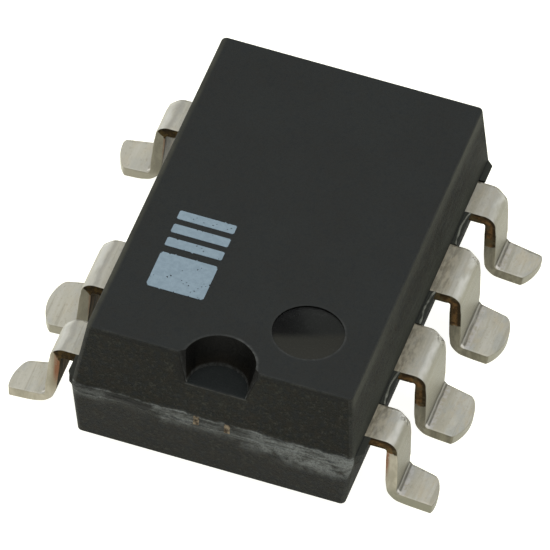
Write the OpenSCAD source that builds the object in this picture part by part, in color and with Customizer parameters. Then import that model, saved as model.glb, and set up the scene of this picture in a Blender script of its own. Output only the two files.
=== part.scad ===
// Surface mount power IC in an eight-position moulded body with gull-wing leads and one lead left out.
// +Z is up and z = 0 is the solder plane. The notched end faces +Y, and lead 1 is at -X, +Y.
// Leads count anticlockwise seen from above: 1 to 4 down the -X side, 5, 7 and 8 up the +X side.

/* [Moulded body] */
// Width of the body at the parting plane, along X
body_w = 6.42; // [5.4:0.01:8.4]
// Distance from the last lead's axis to the body's end at the parting plane
end_margin = 1.06; // [0.95:0.01:1.6]
// Height of the upper mould half above the parting plane
upper_h = 1.76; // [1.5:0.01:2.6]
// Height of the lower mould half below the parting plane
lower_h = 1.52; // [1.1:0.01:2.2]
// Clearance between the body's underside and the solder plane
standoff = 0.23; // [0.1:0.01:0.4]
// Release angle of the walls above the parting plane, in degrees
upper_draft = 6.5; // [3:0.5:10]
// Release angle of the walls below the parting plane, in degrees
lower_draft = 6; // [3:0.5:10]
// Radius of the upright corner edges
corner_r = 0.12; // [0.1:0.01:0.4]
// Radius of the edges round the top and bottom faces
edge_r = 0.05; // [0.03:0.01:0.09]
// How far the resin ledge stands out beside the leads, up to the cut dam bar
ledge_w = 0.14; // [0.05:0.01:0.17]
// Share of the ledge's width that is left at its underside, where the dam bar's cut leans in
ledge_foot = 0.3; // [0.1:0.05:1]
// Distance from the body's ends to the ends of the ledge
ledge_end_in = 0.14; // [0.1:0.01:0.3]
// Length of the ledge that is left beside the missing lead
ledge_stub = 0.35; // [0.2:0.01:0.5]

/* [Body marks] */
// Radius of the index notch at its floor
notch_r = 0.66; // [0.4:0.01:0.8]
// Depth of the index notch below the top face
notch_depth = 0.8; // [0.4:0.01:0.9]
// How much the notch opens out from its floor to the top face
notch_flare = 0.14; // [0.05:0.01:0.25]
// Distance from the notch's axis to the body's end at the parting plane
notch_inset = 0.21; // [0:0.01:0.3]
// How much wider than the notch its mouth is, on each side of the floor
mouth_ease = 0.03; // [0.02:0.01:0.2]
// Radius of the walls that ease the mouth of the notch, at the floor
mouth_r = 1.1; // [1:0.01:1.4]
// How much the walls that ease the mouth open out from the floor to the top face
mouth_flare = 0.23; // [0.14:0.01:0.3]
// Radius of the dimple that marks lead 1
dimple_r = 0.79; // [0.4:0.01:0.9]
// Depth of the dimple's upright rim
dimple_rim = 0.04; // [0.02:0.01:0.08]
// Further depth of the dimple's dished floor
dimple_dish = 0.06; // [0.02:0.01:0.1]
// Distance from the body's side to the dimple's centre
dimple_side = 1.7; // [1.4:0.01:2]
// Distance from the body's notched end to the dimple's centre
dimple_end = 1.75; // [1.4:0.01:2]
// Radius of the two ejector marks in the underside
ejector_r = 0.75; // [0.4:0.01:0.9]
// Depth of the ejector marks
ejector_depth = 0.05; // [0.02:0.01:0.1]
// Distance between the two ejector marks
ejector_pitch = 5.2; // [4:0.01:5.6]

/* [Leads] */
// Distance between neighbouring leads
pitch = 2.54; // [2.1:0.01:3.1]
// Thickness of the lead frame
lead_t = 0.25; // [0.2:0.01:0.3]
// Width of a lead where it leaves the body
shoulder_w = 1.51; // [1.2:0.01:1.6]
// Distance from an end lead's axis to its outer edge
end_lead_out = 0.27; // [0.2:0.01:0.5]
// Step in each edge where the dam bar was cut away
trim_step = 0.05; // [0.02:0.01:0.1]
// Length over which each edge steps in there
trim_run = 0.25; // [0.1:0.01:0.3]
// Flat length of the shoulder outside the body
shoulder_l = 0.38; // [0.3:0.01:0.9]
// Inside radius of the bend at the shoulder
shoulder_bend_r = 0.08; // [0.05:0.01:0.15]
// Inside radius of the bend at the foot
foot_bend_r = 0.1; // [0.05:0.01:0.15]
// Outward lean of the leg from upright, in degrees
leg_lean = 3; // [0:0.5:8]
// Flat length of the foot, up to the toe
foot_l = 0.79; // [0.6:0.01:1.2]
// Downward slope of the foot from its bend to the toe, in degrees
foot_slope = 4.5; // [0:0.5:8]
// How much the foot narrows towards the toe, on its -Y side
foot_taper = 0.1; // [0:0.01:0.15]
// Radius of the rounded toe
toe_r = 1.2; // [1:0.01:1.5]

/* [Lead frame inside] */
// Distance from the die's side to the paddle's side, which takes the source wires
paddle_rim = 0.55; // [0.5:0.01:0.8]
// Clearance between the paddle's ends and the bond fingers
finger_gap = 0.65; // [0.4:0.01:0.9]
// Clearance between the tie bars and the arm that joins lead 8 to the paddle
arm_gap = 0.4; // [0.3:0.01:0.5]
// Width of each tie bar
tie_bar_w = 0.13; // [0.1:0.01:0.25]
// Distance between the two tie bars at one end
tie_bar_pitch = 0.7; // [0.5:0.01:0.9]
// Length of a separate lead's bond finger inside the body
finger_l = 2.1; // [1.75:0.01:2.2]
// Radius of the holes that lock the frame into the resin
lock_hole_r = 0.2; // [0.1:0.01:0.22]
// Distance from the body's side to the locking holes
lock_hole_in = 0.6; // [0.5:0.01:0.65]

/* [Die and bond wires] */
// Width of the silicon die, along X
die_w = 2.1; // [1.7:0.01:2.4]
// Length of the silicon die, along Y
die_l = 2.5; // [2:0.01:3]
// Thickness of the silicon die
die_t = 0.28; // [0.2:0.01:0.35]
// Thickness of the die attach
attach_t = 0.03; // [0.02:0.01:0.05]
// How far the die attach spreads round the die
attach_rim = 0.1; // [0.05:0.01:0.15]
// Diameter of the bond wires
wire_d = 0.05; // [0.03:0.005:0.08]
// Diameter of a wire's bonded ends
bond_d = 0.13; // [0.1:0.01:0.18]
// Thickness of a wire's bonded ends
bond_t = 0.03; // [0.02:0.01:0.04]
// Height that a wire rises straight up from the die
wire_rise = 0.12; // [0.08:0.01:0.2]
// Radius of the bend at the top of a wire
wire_bend_r = 0.1; // [0.08:0.01:0.14]

/* [Hidden] */
$fn = 64;

side_leads = 4;
hull_fn = 32;
bend_steps = 10;
wire_steps = 5;
wire_sides = 8;
slip = 0.01;

resin = [0.2, 0.2, 0.19];
tin = [0.78, 0.77, 0.72];
copper = [0.72, 0.45, 0.3];
silicon = [0.36, 0.38, 0.44];
silver_epoxy = [0.66, 0.66, 0.64];
gold = [0.85, 0.68, 0.3];

// Heights
parting_z = standoff + lower_h;
top_z = parting_z + upper_h;
frame_z = parting_z - lead_t / 2;
frame_top_z = frame_z + lead_t;
attach_top_z = frame_top_z + attach_t;
die_top_z = attach_top_z + die_t;

// Plan sizes of the body at the parting plane
lead_span_y = (side_leads - 1) * pitch;
body_l = lead_span_y + 2 * end_margin;
half_w = body_w / 2;
half_l = body_l / 2;

// Plan widths of a lead
shoulder_half = shoulder_w / 2;
inner_edge = lead_span_y / 2 - shoulder_half;
ledge_end_y = half_l - ledge_end_in;

// Profile of a lead: two bends joined by a leaning leg, and a foot whose sole meets z = 0 at the toe
shoulder_outer_r = shoulder_bend_r + lead_t;
foot_outer_r = foot_bend_r + lead_t;
foot_along = [cos(foot_slope), -sin(foot_slope)];
foot_down = [-sin(foot_slope), -cos(foot_slope)];
bend_1 = [half_w + shoulder_l, frame_z - shoulder_bend_r];
bend_2_z = -foot_outer_r * foot_down[1] - foot_l * foot_along[1];
bend_drop = bend_1[1] - bend_2_z;
bend_run = (shoulder_outer_r + foot_bend_r + bend_drop * sin(leg_lean)) / cos(leg_lean);
bend_2 = [bend_1[0] + bend_run, bend_2_z];
toe_top = bend_2 + foot_bend_r * foot_down + foot_l * foot_along;
toe_sole = bend_2 + foot_outer_r * foot_down + foot_l * foot_along;
toe_x = toe_top[0];

// Plan of the frame inside the body
paddle_x = die_w / 2 + paddle_rim;
paddle_y = inner_edge - finger_gap;
tie_bar_x = tie_bar_pitch / 2;
arm_x = tie_bar_x + tie_bar_w / 2 + arm_gap;
finger_x = half_w - finger_l;
lock_hole_x = half_w - lock_hole_in;

// Place of the end face at the height of the notch's floor
notch_mouth_y = half_l - (upper_h - notch_depth) * tan(upper_draft);

// Dished floor of the dimple: a sphere whose cap has the dimple's radius and the dish's depth
dish_r = (pow(dimple_r, 2) + pow(dimple_dish, 2)) / (2 * dimple_dish);

// Distance from a wire's middle to the flat on its underside
wire_flat = wire_d / 2 * cos(180 / wire_sides);

// Bonds: distance in from the die's edges, from a finger's edges and from the paddle's side
pad_in = 0.2;
stitch_in = 0.25;
paddle_bond_in = 0.15;
drain_pitch = 0.3;
pad_x = die_w / 2 - pad_in;
pad_y = die_l / 2 - pad_in;
finger_bond_x = finger_x + stitch_in;
finger_bond_y = inner_edge + stitch_in;
paddle_bond_x = paddle_x - paddle_bond_in;
source_pitch = 0.6;

// Distance along Y from the middle of the body to the axis of position i, 0 at the notched end
function lead_y(i) = lead_span_y / 2 - i * pitch;

// Angle below level of a wire's straight stretch, between two bends whose centres are run and drop apart
function wire_fall(run, drop) = asin(2 * wire_bend_r / norm([run, drop])) + atan2(drop, run);

// ---- Leads ----

// Points of an arc, from angle a0 to angle a1
function arc(centre, r, a0, a1, steps = bend_steps) =
    [for (i = [0:steps]) centre + r * [cos(a0 + (a1 - a0) * i / steps), sin(a0 + (a1 - a0) * i / steps)]];

// Side view of one formed lead, from start_x inside the body to the toe and back along its underside
module lead_profile(start_x) {
    polygon(concat(
        [[start_x, frame_top_z]],
        arc(bend_1, shoulder_outer_r, 90, leg_lean),
        arc(bend_2, foot_bend_r, 180 + leg_lean, 270 - foot_slope),
        [toe_top, toe_sole],
        arc(bend_2, foot_outer_r, 270 - foot_slope, 180 + leg_lean),
        arc(bend_1, shoulder_bend_r, leg_lean, 90),
        [[start_x, frame_z]]
    ));
}

// Top view of one lead: full width to the first bend, narrower past the dam bar, then a tapered foot and
// round toe
module lead_plan(start_x, low_y, high_y) {
    neck_x = bend_1[0] + trim_run;
    intersection() {
        polygon([
            [start_x, low_y],
            [bend_1[0], low_y],
            [neck_x, low_y + trim_step],
            [bend_2[0], low_y + trim_step],
            [toe_x, low_y + trim_step + foot_taper],
            [toe_x, high_y - trim_step],
            [neck_x, high_y - trim_step],
            [bend_1[0], high_y],
            [start_x, high_y]
        ]);
        union() {
            translate([start_x - slip, -shoulder_w]) square([toe_x - toe_r - start_x, 2 * shoulder_w]);
            translate([toe_x - toe_r, 0]) circle(toe_r);
        }
    }
}

// One gull-wing lead on the +X side, centred on y = 0 and spanning low_y to high_y
module gull_wing(start_x, low_y, high_y) {
    intersection() {
        translate([0, high_y + slip, 0]) rotate([90, 0, 0])
            linear_extrude(high_y - low_y + 2 * slip) lead_profile(start_x);
        translate([0, 0, -slip]) linear_extrude(frame_top_z + 2 * slip) lead_plan(start_x, low_y, high_y);
    }
}

// The lead at position i of one side; the end leads are cut narrower on their outer side
module side_lead(side, i, start_x) {
    high_y = i == 0 ? end_lead_out : shoulder_half;
    low_y = i == side_leads - 1 ? -end_lead_out : -shoulder_half;
    translate([0, lead_y(i), 0]) scale_side(side) gull_wing(start_x, low_y, high_y);
}

// Mirrors its children to the -X side when side is -1
module scale_side(side) {
    if (side > 0) children();
    else mirror([1, 0, 0]) children();
}

// Flat piece of the frame, drawn in plan
module frame_plate() {
    translate([0, 0, frame_z]) linear_extrude(lead_t) children();
}

// A separate lead of an end position: its gull wing and its bond finger, locked by a hole
module end_lead(side, i) {
    outer = i == 0 ? 1 : -1;
    hole_y = lead_y(i) - outer * (shoulder_half - end_lead_out) / 2;
    difference() {
        side_lead(side, i, finger_x);
        translate([side * lock_hole_x, hole_y, frame_z - slip])
            cylinder(h = lead_t + 2 * slip, r = lock_hole_r);
    }
}

module lead_1() {
    color(tin) end_lead(-1, 0);
}

module lead_4() {
    color(tin) end_lead(-1, side_leads - 1);
}

module lead_5() {
    color(tin) end_lead(1, side_leads - 1);
}

// Die paddle with its tie bars, the arm to lead 8, and leads 2, 3, 7 and 8 in one stamped piece
module source_frame() {
    arm_low_y = paddle_y - slip;
    arm_high_y = lead_span_y / 2 + end_lead_out;
    color(copper) difference() {
        union() {
            frame_plate() {
                square(2 * [paddle_x, paddle_y], center = true);
                translate([arm_x, arm_low_y]) square([paddle_x - arm_x, arm_high_y - arm_low_y]);
                for (x = [-tie_bar_x, tie_bar_x])
                    translate([x - tie_bar_w / 2, -half_l]) square([tie_bar_w, body_l]);
            }
            side_lead(-1, 1, paddle_x - slip);
            side_lead(-1, 2, paddle_x - slip);
            side_lead(1, 1, paddle_x - slip);
            side_lead(1, 0, paddle_x - slip);
        }
        for (place = [[-1, 1], [-1, 2], [1, 1]])
            translate([place[0] * lock_hole_x, lead_y(place[1]), frame_z - slip])
                cylinder(h = lead_t + 2 * slip, r = lock_hole_r);
    }
}

// ---- Die and wires ----

module die_attach() {
    color(silver_epoxy) translate([0, 0, frame_top_z + attach_t / 2])
        cube([die_w + 2 * attach_rim, die_l + 2 * attach_rim, attach_t], center = true);
}

module silicon_die() {
    color(silicon) translate([0, 0, attach_top_z + die_t / 2]) cube([die_w, die_l, die_t], center = true);
}

// Route of a wire in its own upright plane, as [distance, height, angle of travel] at each ring
function wire_route(run) =
    let (
        low_z = frame_top_z + wire_flat,
        bend_a = [wire_bend_r, die_top_z + bond_t + wire_rise],
        bend_b = [run - bond_d, low_z + wire_bend_r],
        fall = wire_fall(bend_b[0] - bend_a[0], bend_a[1] - bend_b[1])
    )
    concat(
        [[0, die_top_z + bond_t / 2, 90]],
        [for (i = [0:wire_steps])
            let (turn = 90 - (90 + fall) * i / wire_steps)
            [bend_a[0] - wire_bend_r * sin(turn), bend_a[1] + wire_bend_r * cos(turn), turn]],
        [for (i = [0:wire_steps])
            let (turn = -fall * (1 - i / wire_steps))
            [bend_b[0] + wire_bend_r * sin(turn), bend_b[1] - wire_bend_r * cos(turn), turn]],
        [[run, low_z, 0]]
    );

// Tube of wire_sides sides round a route, with flats facing up and down
module wire_tube(route) {
    rings = len(route);
    points = [
        for (p = route, j = [0:wire_sides - 1])
            let (
                around = (j + 0.5) * 360 / wire_sides,
                out = wire_d / 2 * cos(around)
            )
            [p[0] - out * sin(p[2]), wire_d / 2 * sin(around), p[1] + out * cos(p[2])]
    ];
    walls = [
        for (i = [0:rings - 2], j = [0:wire_sides - 1])
            let (k = (j + 1) % wire_sides)
            [i * wire_sides + j, (i + 1) * wire_sides + j, (i + 1) * wire_sides + k, i * wire_sides + k]
    ];
    start_cap = [for (j = [0:wire_sides - 1]) j];
    end_cap = [for (j = [wire_sides - 1:-1:0]) (rings - 1) * wire_sides + j];
    polyhedron(points, concat([start_cap], walls, [end_cap]));
}

// Wire from a ball bond on the die to a flat bond on the frame
module bond_wire(pad, landing) {
    way = landing - pad;
    run = norm(way);
    translate([pad[0], pad[1], 0]) rotate(atan2(way[1], way[0])) {
        translate([0, 0, die_top_z]) cylinder(h = bond_t, d = bond_d);
        wire_tube(wire_route(run));
        translate([run, 0, frame_top_z]) cylinder(h = bond_t, d = bond_d);
    }
}

module wire_control_1() {
    color(gold) bond_wire([-pad_x, pad_y], [-finger_bond_x, finger_bond_y]);
}

module wire_control_4() {
    color(gold) bond_wire([-pad_x, -pad_y], [-finger_bond_x, -finger_bond_y]);
}

// Drain wires to lead 5, side by side; n counts from the middle of the die outwards
module drain_wire(n) {
    shift = n * drain_pitch;
    color(gold) bond_wire([pad_x - 2 * drain_pitch + shift, -pad_y], [finger_bond_x + shift, -finger_bond_y]);
}

module wire_drain_a() {
    drain_wire(0);
}

module wire_drain_b() {
    drain_wire(1);
}

module wire_drain_c() {
    drain_wire(2);
}

// Short source wires from the die down to the paddle beside it; n counts along +Y
module source_wire(n) {
    y = (n - 0.5) * source_pitch;
    color(gold) bond_wire([pad_x, y], [paddle_bond_x, y]);
}

module wire_source_a() {
    source_wire(0);
}

module wire_source_b() {
    source_wire(1);
}

module wire_source_c() {
    source_wire(2);
}

// ---- Moulded body ----

// Round block with a rounded upper edge, one corner of a mould half
module corner_puck(r) {
    rotate_extrude($fn = hull_fn) {
        square([r - edge_r, edge_r]);
        intersection() {
            translate([r - edge_r, 0]) circle(edge_r);
            square([r, edge_r]);
        }
    }
}

// One mould half: walls leaning in by the draft from the parting plane to the far face
module mould_half(h, draft) {
    lean = h * tan(draft);
    hull()
        for (x = [-1, 1], y = [-1, 1]) {
            translate([x * (half_w - corner_r), y * (half_l - corner_r), 0])
                cylinder(h = slip, r = corner_r, $fn = hull_fn);
            translate([x * (half_w - lean - corner_r), y * (half_l - lean - corner_r), h - edge_r])
                corner_puck(corner_r);
        }
}

// Resin ledge along one side of the body, from low_y to high_y, as thick as the lead frame, with its ends
// cut at 45 degrees and its outer face leaning in towards the underside
module ledge(side, low_y, high_y) {
    root_x = half_w - corner_r;
    scale_side(side) intersection() {
        frame_plate() polygon([
            [root_x, low_y],
            [half_w, low_y],
            [half_w + ledge_w, low_y + ledge_w],
            [half_w + ledge_w, high_y - ledge_w],
            [half_w, high_y],
            [root_x, high_y]
        ]);
        translate([0, high_y + slip, 0])
            rotate([90, 0, 0])
                linear_extrude(high_y - low_y + 2 * slip)
                    polygon([
                        [root_x - slip, frame_z],
                        [half_w + ledge_w * ledge_foot, frame_z],
                        [half_w + ledge_w, frame_top_z],
                        [root_x - slip, frame_top_z]
                    ]);
    }
}

// Flared wall of the notch, from its floor to above the top face
module notch_cone(y, r, flare) {
    translate([0, y, top_z - notch_depth]) cylinder(h = 2 * notch_depth, r1 = r, r2 = r + 2 * flare);
}

// Index notch: a flared half round, and a wider one further out that eases its mouth in the end face
module index_notch() {
    mouth_y = notch_mouth_y + sqrt(pow(mouth_r, 2) - pow(notch_r + mouth_ease, 2));
    notch_cone(half_l - notch_inset, notch_r, notch_flare);
    notch_cone(mouth_y, mouth_r, mouth_flare);
}

module lead_1_dimple() {
    translate([dimple_side - half_w, half_l - dimple_end, top_z - dimple_rim]) {
        cylinder(h = 2 * dimple_rim, r = dimple_r);
        intersection() {
            translate([0, 0, dish_r - dimple_dish]) sphere(dish_r, $fn = 180);
            translate([0, 0, -2 * dimple_dish]) cylinder(h = 2 * dimple_dish + dimple_rim, r = dimple_r);
        }
    }
}

module ejector_marks() {
    for (y = [-ejector_pitch / 2, ejector_pitch / 2])
        translate([0, y, standoff - slip]) cylinder(h = ejector_depth + slip, r = ejector_r);
}

// Everything that the resin was moulded round
module moulded_in() {
    source_frame();
    lead_1();
    lead_4();
    lead_5();
    die_attach();
    silicon_die();
    wire_control_1();
    wire_control_4();
    wire_drain_a();
    wire_drain_b();
    wire_drain_c();
    wire_source_a();
    wire_source_b();
    wire_source_c();
}

module body() {
    stub_5_y = -inner_edge + ledge_stub;
    stub_7_y = lead_y(1) - shoulder_half - ledge_stub;
    color(resin) difference() {
        union() {
            translate([0, 0, parting_z]) mould_half(upper_h, upper_draft);
            translate([0, 0, parting_z]) mirror([0, 0, 1]) mould_half(lower_h, lower_draft);
            ledge(-1, -ledge_end_y, ledge_end_y);
            ledge(1, -ledge_end_y, stub_5_y);
            ledge(1, stub_7_y, ledge_end_y);
        }
        index_notch();
        lead_1_dimple();
        ejector_marks();
        moulded_in();
    }
}

body();
source_frame();
lead_1();
lead_4();
lead_5();
die_attach();
silicon_die();
wire_control_1();
wire_control_4();
wire_drain_a();
wire_drain_b();
wire_drain_c();
wire_source_a();
wire_source_b();
wire_source_c();
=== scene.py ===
"""Looks of a surface mount IC: moulded resin body and seven tin-plated gull-wing leads.

The part lies in the row frame: +Z up, solder plane at z = 0, notched end at +Y. Lengths here are in
millimetres, and MM turns them into Blender's metres. Left and right are the photograph's: +X and -X.
"""

import math

import bmesh
import bpy
import numpy as np
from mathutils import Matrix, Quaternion, Vector


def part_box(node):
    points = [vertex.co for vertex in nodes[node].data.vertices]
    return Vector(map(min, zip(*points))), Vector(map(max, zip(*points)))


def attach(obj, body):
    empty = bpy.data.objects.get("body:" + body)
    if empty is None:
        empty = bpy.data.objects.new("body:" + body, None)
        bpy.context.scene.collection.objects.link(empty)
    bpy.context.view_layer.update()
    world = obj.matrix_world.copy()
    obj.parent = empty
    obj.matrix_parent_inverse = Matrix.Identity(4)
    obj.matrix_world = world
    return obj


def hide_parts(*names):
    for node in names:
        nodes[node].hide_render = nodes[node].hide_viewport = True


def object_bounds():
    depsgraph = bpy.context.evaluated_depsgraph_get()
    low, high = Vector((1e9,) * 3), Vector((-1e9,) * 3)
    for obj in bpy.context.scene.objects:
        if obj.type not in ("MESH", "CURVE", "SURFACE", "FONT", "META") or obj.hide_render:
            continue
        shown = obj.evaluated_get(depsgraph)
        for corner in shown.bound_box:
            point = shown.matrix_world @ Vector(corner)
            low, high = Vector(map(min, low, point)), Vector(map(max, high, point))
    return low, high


MM = 0.001
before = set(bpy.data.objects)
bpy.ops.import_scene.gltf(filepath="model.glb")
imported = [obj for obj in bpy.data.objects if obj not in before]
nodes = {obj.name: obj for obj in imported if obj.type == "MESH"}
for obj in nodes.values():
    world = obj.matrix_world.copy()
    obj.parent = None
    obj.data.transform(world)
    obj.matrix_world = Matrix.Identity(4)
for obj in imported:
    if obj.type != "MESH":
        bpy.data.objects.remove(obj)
cad_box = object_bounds()

# ---- Sizes, read off the frame or repeated from the part's source ----

PITCH = 2.54
LEAD_T = 0.25
SHOULDER_HALF = 0.755
FIRST_LEAD_OUT, LAST_LEAD_OUT = 0.27, 0.24
TRIM_STEP, TRIM_RUN = 0.05, 0.25
SHOULDER_L = 0.38
SHOULDER_BEND_R, FOOT_BEND_R = 0.08, 0.1
LEG_LEAN, FOOT_SLOPE = math.radians(3), math.radians(4.5)
FOOT_L, FOOT_TAPER, TOE_R = 0.79, 0.1, 1.2
UPPER_DRAFT, LOWER_DRAFT = math.radians(6.5), math.radians(6)
LOWER_H = 1.52
LEDGE_W = 0.14
NOTCH_INSET, NOTCH_DEPTH, NOTCH_RIM, NOTCH_REACH = 0.21, 0.8, 0.815, 1.02
DIMPLE_R, DIMPLE_SIDE, DIMPLE_END = 0.79, 1.7, 1.75
EJECTOR_R, EJECTOR_PITCH = 0.75, 5.2
TIE_BAR_W, TIE_BAR_PITCH = 0.13, 0.7

body_low, body_high = (np.array(corner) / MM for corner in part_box("body"))
HALF_W, HALF_L = body_high[0] - LEDGE_W, body_high[1]
TOP_Z, BOTTOM_Z = body_high[2], body_low[2]
PARTING_Z = BOTTOM_Z + LOWER_H
BEND_X, BEND_Z = HALF_W + SHOULDER_L, PARTING_Z - LEAD_T / 2 - SHOULDER_BEND_R

# Each formed piece: the CAD node that it replaces, and for each of its leads the side, the position from the
# notched end, how far the leg stands out, how much the heel is worn round, and the side trim's share
LEADS = {
    "lead_1_formed": ("lead_1", [(-1, 0, 0.035, 0.025, 0.5)]),
    "lead_4_formed": ("lead_4", [(-1, 3, 0.0, 0.01, 0.7)]),
    "lead_5_formed": ("lead_5", [(1, 3, 0.025, 0.05, 0.3)]),
    "source_frame_formed": ("source_frame", [
        (-1, 1, 0.02, 0.025, 0.9),
        (-1, 2, 0.005, 0.02, 0.9),
        (1, 1, 0.025, 0.05, 0.3),
        (1, 0, 0.03, 0.07, 0.2),
    ]),
}

# ---- Camera and room ----

VIEW_AZIMUTH, VIEW_ELEVATION, VIEW_ROLL = 194.67, 46.58, 4.89
VIEW_DISTANCE, VIEW_LENS = 266.0, 801.3
AIM_OFFSET = (0.103, 0.192, 0.028)

# White walls up to a dimmer, bluish ceiling; the heights are sines of elevation
WALL_LIGHT, CEILING_LIGHT = (0.75, 0.74, 0.71), (0.3, 0.31, 0.33)
WALL_TOP = (0.66, 0.78)
FLOOR_HALF = 150
LAMP_HEIGHT, LAMP_SIZE, LAMP_POWER = 150, 110, 0.18


def link(obj):
    bpy.context.scene.collection.objects.link(obj)
    return obj


def look_back(azimuth, elevation):
    """Unit vector from the object towards a viewer; azimuth 0 is at -Y and 90 at +X."""
    a, e = math.radians(azimuth), math.radians(elevation)
    return Vector((math.sin(a) * math.cos(e), -math.cos(a) * math.cos(e), math.sin(e)))


def add_camera():
    cam = link(bpy.data.objects.new("camera", bpy.data.cameras.new("camera")))
    back = look_back(VIEW_AZIMUTH, VIEW_ELEVATION)
    cam.location = (cad_box[0] + cad_box[1]) / 2 + (Vector(AIM_OFFSET) + back * VIEW_DISTANCE) * MM
    cam.rotation_mode = "QUATERNION"
    roll = Quaternion((0, 0, 1), math.radians(VIEW_ROLL))
    cam.rotation_quaternion = (-back).to_track_quat("-Z", "Y") @ roll
    cam.data.lens = VIEW_LENS
    cam.data.clip_start, cam.data.clip_end = 0.01, 10
    bpy.context.scene.camera = cam


def add_lamp():
    """A soft round lamp straight overhead."""
    data = bpy.data.lights.new("overhead", "AREA")
    data.shape, data.size, data.energy = "DISK", LAMP_SIZE * MM, LAMP_POWER
    link(bpy.data.objects.new("overhead", data)).location.z = LAMP_HEIGHT * MM


def add_room():
    world = bpy.data.worlds.new("studio")
    world.use_nodes = True
    tree = world.node_tree
    background = tree.nodes["Background"]
    up = tree.nodes.new("ShaderNodeSeparateXYZ")
    tree.links.new(tree.nodes.new("ShaderNodeTexCoord").outputs["Generated"], up.inputs[0])
    height = tree.nodes.new("ShaderNodeMapRange")
    height.interpolation_type = "SMOOTHSTEP"
    height.inputs["From Min"].default_value, height.inputs["From Max"].default_value = WALL_TOP
    tree.links.new(up.outputs["Z"], height.inputs["Value"])
    blend = tree.nodes.new("ShaderNodeMix")
    blend.data_type = "RGBA"
    blend.inputs[6].default_value = (*WALL_LIGHT, 1)
    blend.inputs[7].default_value = (*CEILING_LIGHT, 1)
    tree.links.new(height.outputs[0], blend.inputs[0])
    tree.links.new(blend.outputs[2], background.inputs["Color"])
    bpy.context.scene.world = world
    bpy.context.scene.view_settings.view_transform = "Standard"

    mesh = bpy.data.meshes.new("floor")
    a = FLOOR_HALF * MM
    mesh.from_pydata([(-a, -a, 0), (a, -a, 0), (a, a, 0), (-a, a, 0)], [], [(0, 1, 2, 3)])
    floor = link(bpy.data.objects.new("floor", mesh))
    paint = Paint("floor_white")
    paint.set("Base Color", (0.45, 0.45, 0.36, 1))
    paint.set("Roughness", 0.9)
    paint.set("Emission Color", (1, 1, 0.96, 1))
    paint.set("Emission Strength", 0.98)
    mesh.materials.append(paint.material)


# ---- Node materials ----

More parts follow.
